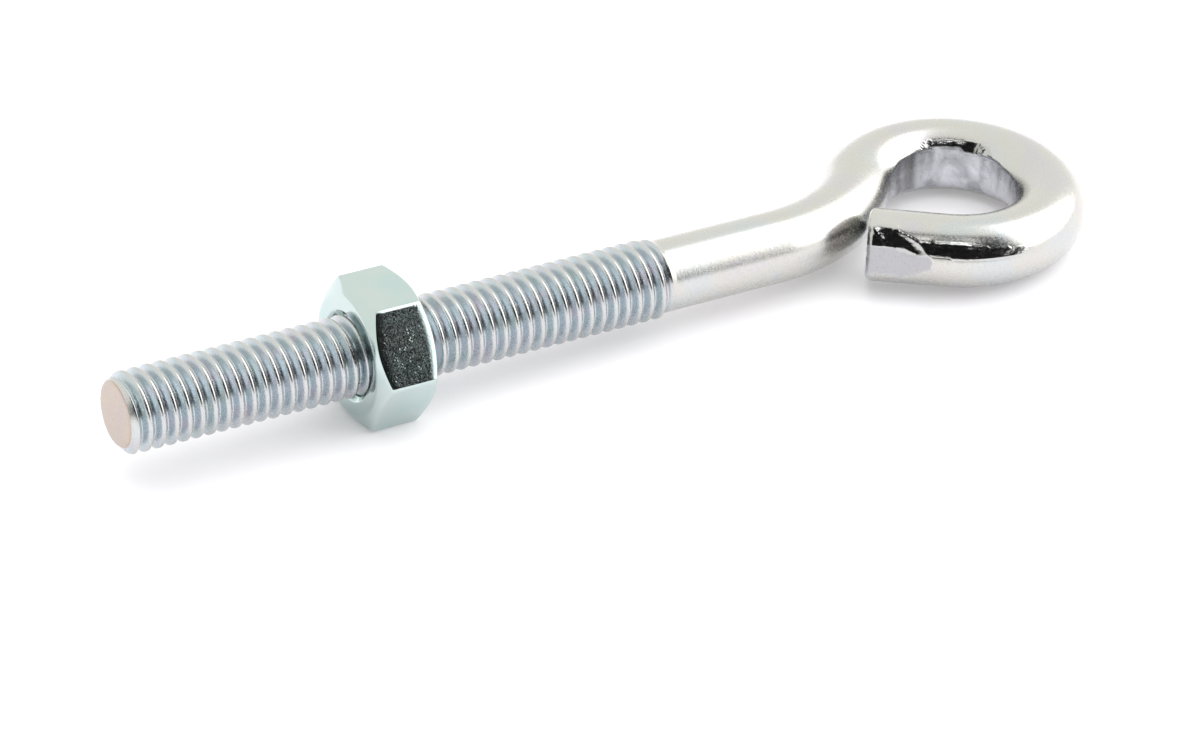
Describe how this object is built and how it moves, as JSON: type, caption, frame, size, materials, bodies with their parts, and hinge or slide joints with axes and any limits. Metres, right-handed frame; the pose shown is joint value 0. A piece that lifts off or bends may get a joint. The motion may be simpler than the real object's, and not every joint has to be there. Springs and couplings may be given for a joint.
{
  "type": "eye bolt",
  "caption": "Bent-rod eye bolt with a metric thread and a hexagon nut that screws along it, for fastening a hook, wire or shackle to a panel or tapped hole.",
  "frame": {"origin": "centre of the eye, on the thread's axis and in the middle plane of the eye", "axes": "+X along the thread's axis from the tip to the eye, +Y towards the side on which the rod enters the eye, +Z through the eye, so the bolt lies flat"},
  "size_m": [0.0787, 0.0198, 0.0098],
  "materials": {
    "bolt_zinc": "bright zinc plate over drawn steel, with a faint yellow and blue sheen",
    "nut_zinc": "satin zinc plate with a pale blue-green tint"
  },
  "bodies": {
    "bolt": {"eye_bolt": "bolt_zinc"},
    "nut_carrier": {"nut_bearing_face": "nut_zinc"},
    "nut": {"hex_nut": "nut_zinc"}
  },
  "joints": [
    {"name": "nut_travel", "type": "slide", "parent": "bolt", "child": "nut_carrier", "axis": [1, 0, 0], "range_m": [-0.017, 0.019]},
    {"name": "nut_turn", "type": "hinge", "parent": "nut_carrier", "child": "nut", "pos_m": [-0.0482, 0, 0], "axis": [1, 0, 0], "range_deg": [-6125, 6845]}
  ],
  "couplings": [
    {"joint": "nut_turn", "follows": "nut_travel", "rad_per_m": 6283.2}
  ]
}
